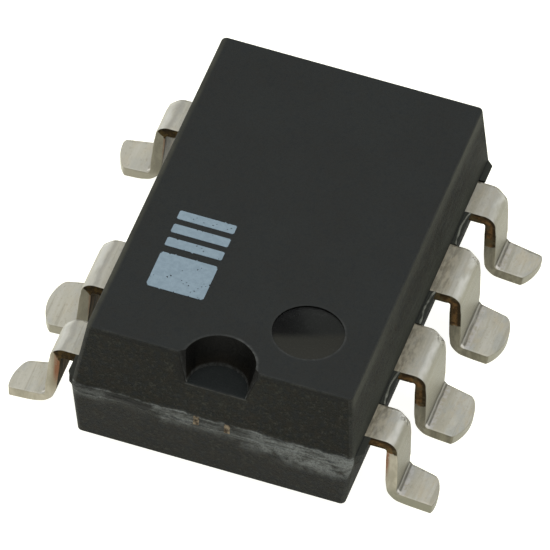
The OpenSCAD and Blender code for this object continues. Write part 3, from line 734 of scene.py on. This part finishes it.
def ink_paint():
    p = Paint("print_ink")
    pit = p.times(p.span(p.cells(13), 0.16, 0.0), p.span(p.noise(3, 3), 0.45, 0.6))
    p.colour = p.mix(p.patches(p.noise(9, 4, 0.65)), srgb(107, 125, 136), srgb(116, 134, 145))
    p.coat(srgb(78, 92, 106), pit, 0.5)
    p.set("Base Color", p.colour)
    p.set("Roughness", 0.6)
    p.set("Normal", p.bump(p.noise(30, 3, 0.7), 0.004))
    return p.material


def plain_paint(name, dark, light, scale, rough, depth, metal=0.0):
    """Two close shades mixed by noise, with fine relief: for resin flash and what the resin hides."""
    p = Paint(name)
    pattern = p.noise(scale, 4, 0.6)
    p.set("Base Color", p.mix(p.span(pattern, 0.3, 0.7), srgb(*dark), srgb(*light)))
    p.set("Roughness", p.span(pattern, 0.3, 0.7, rough, rough + 0.12))
    p.set("Metallic", metal)
    p.set("Normal", p.bump(pattern, depth))
    return p.material


def cover(obj, material):
    obj.data.materials.clear()
    obj.data.materials.append(material)


# ---- Meshes ----

def mesh_object(name, verts, faces):
    mesh = bpy.data.meshes.new(name)
    mesh.from_pydata([tuple(v) for v in np.asarray(verts) * MM], [], faces)
    bm = bmesh.new()
    bm.from_mesh(mesh)
    bmesh.ops.recalc_face_normals(bm, faces=bm.faces)
    bm.to_mesh(mesh)
    bm.free()
    return link(bpy.data.objects.new(name, mesh))


def free_object(name, bm):
    mesh = bpy.data.meshes.new(name)
    bm.to_mesh(mesh)
    bm.free()
    return link(bpy.data.objects.new(name, mesh))


def box_object(name, low, high):
    bm = bmesh.new()
    bmesh.ops.create_cube(bm, size=1)
    for v in bm.verts:
        v.co = Vector([(low[i] + (v.co[i] + 0.5) * (high[i] - low[i])) * MM for i in range(3)])
    return free_object(name, bm)


def combine(obj, other, operation):
    """Applies a boolean to obj's mesh, and deletes the other object."""
    modifier = obj.modifiers.new("cut", "BOOLEAN")
    modifier.operation, modifier.object, modifier.solver = operation, other, "MANIFOLD"
    bpy.context.view_layer.update()
    result = bpy.data.meshes.new_from_object(obj.evaluated_get(bpy.context.evaluated_depsgraph_get()))
    obj.modifiers.clear()
    obj.data = result
    bpy.data.objects.remove(other)


def copy_node(name, node):
    """A free copy of a CAD node with merged vertices and no custom normals."""
    bm = bmesh.new()
    bm.from_mesh(nodes[node].data)
    bmesh.ops.remove_doubles(bm, verts=bm.verts, dist=1e-8)
    return free_object(name, bm)


def smooth_by_angle(obj, degrees):
    obj.data.shade_smooth()
    obj.data.set_sharp_from_angle(angle=math.radians(degrees))


def tube(count, m):
    """Faces of a tube of count rings with m points each."""
    return [(i * m + j, i * m + m + j, i * m + m + (j + 1) % m, i * m + (j + 1) % m)
            for i in range(count - 1) for j in range(m)]


def tiles(rows, cols, first=0):
    """Faces of a grid of points, in rows, from vertex number first."""
    corners = [first + r * cols + c for r in range(rows - 1) for c in range(cols - 1)]
    return [(a, a + cols, a + cols + 1, a + 1) for a in corners]


def sheet(name, front, back):
    """Closed solid between two grids of points."""
    rows, cols = front.shape[:2]
    n = rows * cols
    faces = tiles(rows, cols) + [face[::-1] for face in tiles(rows, cols, n)]
    rim = list(range(cols)) + [r * cols + cols - 1 for r in range(1, rows)]
    rim += [(rows - 1) * cols + c for c in range(cols - 2, -1, -1)]
    rim += [r * cols for r in range(rows - 2, 0, -1)]
    faces += [(a, b, b + n, a + n) for a, b in zip(rim, rim[1:] + rim[:1])]
    return mesh_object(name, np.concatenate([front.reshape(-1, 3), back.reshape(-1, 3)]), faces)


def island_sheet(name, mask, place, low, high):
    """Closed flat islands over the true cells of a mask; place(i, j) gives a cell corner's x and y."""
    verts, faces, index = [], [], {}

    def vertex(i, j, z):
        if (i, j, z) not in index:
            index[i, j, z] = len(verts)
            verts.append((*place(i, j), z))
        return index[i, j, z]

    for i, j in zip(*np.nonzero(mask)):
        corners = [(i, j), (i + 1, j), (i + 1, j + 1), (i, j + 1)]
        faces.append([vertex(a, b, high) for a, b in corners])
        faces.append([vertex(a, b, low) for a, b in reversed(corners)])
        for (a, b), (c, d), beside in zip(corners, corners[1:] + corners[:1],
                                          ((i, j - 1), (i + 1, j), (i, j + 1), (i - 1, j))):
            if not mask[beside]:
                faces.append([vertex(a, b, low), vertex(c, d, low), vertex(c, d, high), vertex(a, b, high)])
    return mesh_object(name, verts, faces)


def finish_piece(obj, material, node=None):
    cover(obj, material)
    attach(obj, "root")
    if node:
        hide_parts(node)


# ---- Resin details ----


def end_strip(name, material, end, seed):
    """Torn ridges where the side rail of the frame was cut off, half sunk in one end face."""
    rng = np.random.default_rng(seed)
    reach, rise = HALF_W - 0.13, 0.24
    across, upwards = np.linspace(-reach, reach, 430), PARTING_Z + np.linspace(-rise, rise, 34)
    x, z = np.meshgrid(across, upwards, indexing="ij")
    drift, tear = wave_field(rng, 6, 0.8, 5.0), wave_field(rng, 8, 9.0, 45.0)
    grit = wave_field(rng, 8, 60.0, 160.0)
    height = np.full(x.shape, -0.008)
    for offset, size in ((RIDGE_HIGH, 0.022), (RIDGE_LOW, 0.026)):
        line = PARTING_Z + offset + 0.03 * drift(x, offset) + 0.01 * tear(x, offset)
        ridge = np.exp(-((z - line) / (0.02 + 0.01 * tear(x, offset + 2))) ** 2)
        strength = 0.75 + 1.2 * drift(x, offset + 5) + 1.0 * tear(x, offset + 9)
        height += ridge * size * np.clip(strength, 0, 1.2)
    height += 0.011 * grit(x * 0.5, z) * np.exp(-((z - PARTING_Z) / 0.14) ** 2) + 0.006 * tear(x * 0.4, z)
    # clear of the tie bars' cut ends, and faded out at the rim
    sink, tallest, depth = 0.02, 0.03, 0.05
    bars = np.minimum(np.abs(x - TIE_BAR_PITCH / 2), np.abs(x + TIE_BAR_PITCH / 2)) < TIE_BAR_W / 2 + 0.02
    height[bars & (np.abs(z - PARTING_Z) < LEAD_T / 2 + 0.01)] = -sink
    fade = np.minimum(1, np.minimum(rise - np.abs(z - PARTING_Z), reach - np.abs(x)) / 0.04)
    height = np.minimum(height, tallest) * fade - sink * (1 - fade)
    lean = np.where(z > PARTING_Z, math.tan(UPPER_DRAFT), math.tan(LOWER_DRAFT))
    face = HALF_L - np.abs(z - PARTING_Z) * lean
    front = np.stack([x, end * (face + height), z], -1)
    back = np.stack([x, end * (face - depth), z], -1)
    finish_piece(sheet(name, front, back), material)


def ledge_flash(name, material, side, position, seed):
    """Thin curved fin of resin on a ledge between two leads, bowed towards the body."""
    rng = np.random.default_rng(seed)
    centre = PITCH * (1 - position)
    half = PITCH / 2 - SHOULDER_HALF
    t = np.linspace(0, 1, 60)
    rough = wave_field(rng, 6, 3.0, 22.0)
    out = HALF_W + LEDGE_W - 0.03 - 0.06 * np.sin(math.pi * t) ** 0.8 + 0.015 * rough(t, 0)
    size = 0.022 + 0.012 * rough(t * 2, 1)
    rings = []
    for a in np.linspace(0, 2 * math.pi, 10, endpoint=False):
        rings.append(np.stack([
            side * (out + size * math.cos(a)),
            centre - half + 2 * half * t,
            PARTING_Z + LEAD_T / 2 - 0.003 + size * math.sin(a),
        ], -1))
    rings = np.array(rings).transpose(1, 0, 2)
    count, m = rings.shape[:2]
    faces = tube(count, m) + [tuple(range(m)), tuple(range((count - 1) * m, count * m))]
    finish_piece(mesh_object(name, rings.reshape(-1, 3), faces), material)


def resin_web(name, material, side, seed):
    """Sliver of resin left between the outer edge of an end lead and the end of the ledge."""
    rng = np.random.default_rng(seed)
    rough = wave_field(rng, 6, 4.0, 24.0)
    first, last = PITCH * 1.5 + FIRST_LEAD_OUT + 0.005, HALF_L - 0.16
    t = np.linspace(0, 1, 40)
    y = first + (last - first) * t
    outer = HALF_W + 0.145 - 0.06 * np.minimum(1, t * 1.15) ** 0.7 + 0.02 * rough(t * 3, 0)
    inner = np.full(t.shape, HALF_W - 0.03)

    def layer(x, height):
        return np.stack([side * x, y, np.full(t.shape, PARTING_Z + height)], -1)

    front = [layer(inner, 0.1)]
    for height, grow in ((0.105, -0.02), (0.09, 0.0), (-0.06, -0.01), (-0.1, -0.05)):
        front.append(layer(outer + grow, height))
    back = [layer(inner, -0.11 - 0.002 * k) for k in range(len(front))]
    finish_piece(sheet(name, np.array(front), np.array(back)), material)


def top_mark(material, seed=12):
    """Generic printed mark, a block and three bars, with rough edges and pinholes in the ink."""
    rng = np.random.default_rng(seed)
    low_x, high_x, bar_width = 0.9, 2.2, 0.26
    step, x0, y0, columns, rows = 0.02, 0.84, 0.62, 72, 126
    across, along = (start + step * (np.arange(n) + 0.5) for start, n in ((x0, columns), (y0, rows)))
    x, y = np.meshgrid(across, along, indexing="ij")
    ragged, holes = wave_field(rng, 10, 15.0, 70.0), wave_field(rng, 12, 25.0, 60.0)

    def inside(low_y, high_y, corner):
        dx = np.maximum(np.maximum(low_x + corner - x, x - high_x + corner), 0)
        dy = np.maximum(np.maximum(low_y + corner - y, y - high_y + corner), 0)
        return np.hypot(dx, dy) < corner + 0.02 * ragged(x, y)

    mask = inside(2.0, 3.06, 0.08)
    for low_y in (0.7, 1.12, 1.54):
        mask |= inside(low_y, low_y + bar_width, 0.05)
    mask &= holes(x, y) < 0.52
    mask[[0, -1], :] = False
    mask[:, [0, -1]] = False
    # cells that touch only at a corner are joined, which keeps the mesh closed
    a, b, c, d = mask[:-1, :-1], mask[1:, :-1], mask[:-1, 1:], mask[1:, 1:]
    for _ in range(3):
        b |= a & d & ~b & ~c
        a |= b & c & ~a & ~d

    def place(i, j):
        return x0 + step * i, y0 + step * j

    sunk, thick = 0.004, 0.008
    finish_piece(island_sheet("top_mark", mask, place, TOP_Z - sunk, TOP_Z + thick), material)


# ---- Formed leads ----

STEPS_PER_MM = 45
TOP_EDGE_R, UNDER_EDGE_R = 0.035, 0.018
# The leg is thicker by LEG_SWELL, and the -Y corner of the shoulder bend droops by DROOP, most at DROOP_FROM
# past the start of the bend
LEG_SWELL, DROOP, DROOP_FROM = 0.025, 0.055, 0.14
# How far the marks of forming run along the lead, and how far in from its edges
UPSET_RUN, HEEL_RUN, DROOP_RUN = 0.09, 0.24, 0.12
UPSET_IN, BULGE_IN, DROOP_IN, TOE_CORNER_IN = 0.07, 0.08, 0.22, 0.13
# The foot bend's ends: how far they bulge at mid-thickness, how much more on top, and their ridge's height
BULGE, BULGE_SKEW, UPSET_LIFT = 0.005, 0.017, 0.02
# Height of the faces' waves and of the sides' rough shear
WAVE, SHEAR_ROUGH = 0.0035, 0.006
# How far the toe's corners are worn back on the lead's two edges
LOW_CORNER, HIGH_CORNER = 0.05, 0.02
# Past the last station, rings that grow on and shrink round the toe's edges
TOE_RINGS = [(0.006, 0.01), (0.01, 0.022)]


def lead_path():
    """Stations on a lead's mid-line on the +X side, as x, z and the upper face's normal, and key places."""
    r1, r2 = SHOULDER_BEND_R + LEAD_T / 2, FOOT_BEND_R + LEAD_T / 2
    c1 = np.array([BEND_X, BEND_Z])
    c2_z = (FOOT_BEND_R + LEAD_T) * math.cos(FOOT_SLOPE) + FOOT_L * math.sin(FOOT_SLOPE)
    run = (r1 + r2 + (c1[1] - c2_z) * math.sin(LEG_LEAN)) / math.cos(LEG_LEAN)
    c2 = np.array([c1[0] + run, c2_z])
    rows = []

    def straight(a, b, normal):
        for t in np.linspace(0, 1, max(2, int(np.linalg.norm(b - a) * STEPS_PER_MM)), endpoint=False):
            rows.append((*(a + (b - a) * t), *normal))

    def arc(centre, r, a0, a1, sign):
        for t in np.linspace(0, 1, max(14, int(abs(a1 - a0) * r * STEPS_PER_MM * 1.6)), endpoint=False):
            d = np.array([math.cos(a0 + (a1 - a0) * t), math.sin(a0 + (a1 - a0) * t)])
            rows.append((*(centre + r * d), *(sign * d)))

    down = 1.5 * math.pi - FOOT_SLOPE
    leg_normal = np.array([math.cos(LEG_LEAN), math.sin(LEG_LEAN)])
    foot_normal = -np.array([math.cos(down), math.sin(down)])
    straight(np.array([HALF_W - 0.3, PARTING_Z]), np.array([c1[0], PARTING_Z]), (0, 1))
    arc(c1, r1, math.pi / 2, LEG_LEAN, 1)
    straight(c1 + r1 * leg_normal, c2 - r2 * leg_normal, leg_normal)
    bend_at = len(rows)
    arc(c2, r2, math.pi + LEG_LEAN, down, -1)
    foot_at = len(rows)
    heel = c2 - r2 * foot_normal
    toe = heel + FOOT_L * np.array([math.cos(FOOT_SLOPE), -math.sin(FOOT_SLOPE)])
    straight(heel, toe, foot_normal)
    rows.append((*toe, *foot_normal))
    return np.array(rows), c1[0], c2[0], toe[0] + LEAD_T / 2 * foot_normal[0], bend_at, foot_at


def section(columns=54, side_rows=5, arc_steps=4):
    """Points round a lead's section, each as (u, du, n, dn) with a rounding radius r of its own:
    across = low + u * width + du * r, and height = n * t / 2 + dn * r.
    Also how many points make an upper or under row, and how many a side."""
    rise = [(0, 1 - math.cos(a), 1, math.sin(a) - 1) for a in np.linspace(0, math.pi / 2, arc_steps + 1)]
    flat = [(u, 1 - 2 * u, 1, 0) for u in np.linspace(0, 1, columns)[1:-1]]
    fall = [(1, -du, n, dn) for _, du, n, dn in reversed(rise)]
    row = rise + flat + fall
    side = [(1, 0, n, -n) for n in np.linspace(1, -1, side_rows + 2)[1:-1]]
    under = [(u, du, -n, -dn) for u, du, n, dn in reversed(row)]
    back = [(0, 0, -n, n) for _, _, n, _ in side]
    return np.array(row + side + under + back), len(row), len(side)


def wave_field(rng, waves, low, high):
    """A sum of sine waves over two directions, about -1..1."""
    k = rng.uniform(low, high, (waves, 2)) * rng.choice([-1, 1], (waves, 2))
    phase = rng.uniform(0, 2 * math.pi, waves)
    weight = rng.uniform(0.5, 1.0, waves)
    weight /= weight.sum()
    return lambda a, b: sum(w * np.sin(ka * a + kb * b + ph) for w, (ka, kb), ph in zip(weight, k, phase))


def bell(value, width):
    return math.exp(-(value / width) ** 2)


def capped_tube(rings, width, side_rows):
    """Vertices and faces of a tube of rings, each end closed by a grid from upper row to under row."""
    count, m = rings.shape[:2]
    verts, faces = list(rings.reshape(-1, 3)), tube(count, m)
    for first in (0, (count - 1) * m):
        grid = [[first + c for c in range(width)]]
        below = [first + 2 * width + side_rows - 1 - c for c in range(width)]
        for r in range(side_rows):
            t = (r + 1) / (side_rows + 1)
            line = [first + m - 1 - r]
            for c in range(1, width - 1):
                line.append(len(verts))
                verts.append(verts[first + c] * (1 - t) + verts[below[c]] * t)
            grid.append(line + [first + width + r])
        grid.append(below)
        faces += [(a[c], a[c + 1], b[c + 1], b[c]) for a, b in zip(grid, grid[1:]) for c in range(width - 1)]
    return verts, faces


def formed_lead(side, position, stand, worn, trim, seed):
    """Vertices and faces of one formed lead with rolled shear edges, slight waves and upset bend ends."""
    rng = np.random.default_rng(seed)
    path, x_bend, x_foot, x_toe, bend_at, foot_at = lead_path()
    ring, width, side_rows = section()
    u, du, n, dn = ring.T
    upper = n > 0
    radius = np.where(upper, TOP_EDGE_R, UNDER_EDGE_R)
    on_side = (np.abs(du) < 1e-9) & ((u < 1e-9) | (u > 1 - 1e-9))
    wave, ripple = wave_field(rng, 7, 1.0, 5.0), wave_field(rng, 9, 8.0, 40.0)

    high = FIRST_LEAD_OUT if position == 0 else SHOULDER_HALF
    low = -LAST_LEAD_OUT if position == 3 else -SHOULDER_HALF
    px, pz, nx, nz = path.T
    s = np.concatenate([[0], np.cumsum(np.hypot(np.diff(px), np.diff(pz)))])
    s_leg_end, s_foot = s[bend_at], s[foot_at]
    s_bend = (s_leg_end + s_foot) / 2
    s_shoulder = float(np.interp(BEND_X + DROOP_FROM, px[:bend_at], s[:bend_at]))
    shift = stand * np.interp(px, [HALF_W + 0.1, x_bend, x_foot, x_toe - 0.1], [0, 1, 1, 0])
    on_leg = np.interp(s, s_leg_end - np.array([1.1, 0.9, 0.25, 0.05]), [0, 1, 1, 0])
    cut_in = np.interp(px, [x_bend, x_bend + TRIM_RUN], [0, TRIM_STEP * trim])
    low_edge = low + cut_in + np.interp(px, [x_foot, x_toe], [0, FOOT_TAPER])
    high_edge = high - cut_in

    rings = []
    for i, (grow, shrink) in enumerate([(0, 0)] * len(path) + TOE_RINGS):
        k = min(i, len(path) - 1)
        y_low, y_high = low_edge[k] + shrink, high_edge[k] - shrink
        y = y_low + u * (y_high - y_low) + du * radius
        h = n * (LEAD_T / 2 - shrink) + dn * radius
        edge_y = np.maximum(np.minimum(y - low_edge[k], high_edge[k] - y), 0)
        outward = np.sign(y - (low_edge[k] + high_edge[k]) / 2)
        # the foot bend's ends bulge, most at the upper face, and stand up in a ridge
        at_edge = bell(s[k] - s_bend, UPSET_RUN) * np.exp(-edge_y / UPSET_IN)
        y = y + outward * np.clip(1 - edge_y / BULGE_IN, 0, 1) * (BULGE + BULGE_SKEW * n) * at_edge
        h = h + np.where(upper, UPSET_LIFT, 0.0) * at_edge * np.clip(edge_y / 0.03, 0, 1)
        # thicker leg, and a heel worn round underneath
        h = h + np.where(upper, 0.6, -0.4) * LEG_SWELL * on_leg[k]
        h = h + np.where(upper, 0, worn) * bell(s[k] - s_bend, HEEL_RUN)
        # the -Y corner of the shoulder bend droops where the trimming die pulled it
        h = h - DROOP * bell(s[k] - s_shoulder, DROOP_RUN) * np.clip(1 - (y - low_edge[k]) / DROOP_IN, 0, 1)
        # slight waves of the faces, and the rough shear of the sides
        free = np.clip((s[k] - 0.45) / 0.3, 0, 1)
        h = h + WAVE * wave(s[k], y) * free
        y = y - np.where(on_side, np.abs(SHEAR_ROUGH * ripple(s[k], h * 2)) * outward, 0) * free
        # the foot's rings bow back from the round toe's tip
        x, z = px[k] + shift[k] + h * nx[k] + grow, pz[k] + h * nz[k]
        t = max(0, (s[k] - s_foot) / (s[-1] - s_foot))
        bow = (TOE_R - np.sqrt(TOE_R ** 2 - y ** 2)) * t ** 1.3
        corner = np.where(outward < 0, LOW_CORNER, HIGH_CORNER)
        corner = corner * np.clip(1 - edge_y / TOE_CORNER_IN, 0, 1) ** 2
        bow = bow + corner * np.clip((t - 0.8) / 0.2, 0, 1) ** 2
        x, z = x - bow * math.cos(FOOT_SLOPE), z + bow * math.sin(FOOT_SLOPE)
        rings.append(np.stack([x * side, y + PITCH * (1.5 - position), np.maximum(z, 0)], -1))
    return capped_tube(np.array(rings), width, side_rows)


def build_leads(material):
    """Each piece keeps the CAD shape inside the resin, and gets its leads formed anew from there outwards."""
    inside, past = HALF_W - 0.25, HALF_L + 1
    for index, (name, (node, places)) in enumerate(LEADS.items()):
        obj = copy_node(name, node)
        combine(obj, box_object("inside", (-inside, -past, 0), (inside, past, TOP_Z)), "INTERSECT")
        for n, place in enumerate(places):
            combine(obj, mesh_object("outer", *formed_lead(*place, 10 * index + n + 3)), "UNION")
        smooth_by_angle(obj, 35)
        finish_piece(obj, material, node)


add_camera()
add_room()
add_lamp()

resin = resin_paint()
cover(nodes["body"], resin)
end_strip("notch_end_strip", resin, end=1, seed=5)
end_strip("plain_end_strip", resin, end=-1, seed=6)
resin_web("lead_8_web", resin, side=1, seed=3)
# painted highlight: the fins' paler shades stand for light on their rounded resin
flash = plain_paint("resin_flash", (52, 54, 47), (112, 114, 104), 5, rough=0.45, depth=0.004)
for position in (0, 1, 2):
    ledge_flash(f"ledge_flash_{position}", flash, side=-1, position=position, seed=20 + position)
ledge_flash("ledge_flash_left", flash, side=1, position=0, seed=24)
top_mark(ink_paint())
silicon = plain_paint("silicon", (70, 76, 88), (92, 98, 112), 8, rough=0.25, depth=0.001)
epoxy = plain_paint("silver_epoxy", (150, 150, 146), (186, 186, 180), 20, rough=0.5, depth=0.004, metal=0.3)
gold = plain_paint("gold_wire", (200, 160, 80), (226, 188, 104), 30, rough=0.25, depth=0.0005, metal=1.0)
cover(nodes["silicon_die"], silicon)
cover(nodes["die_attach"], epoxy)
for name, obj in nodes.items():
    if name.startswith("wire_"):
        cover(obj, gold)
build_leads(tin_paint())
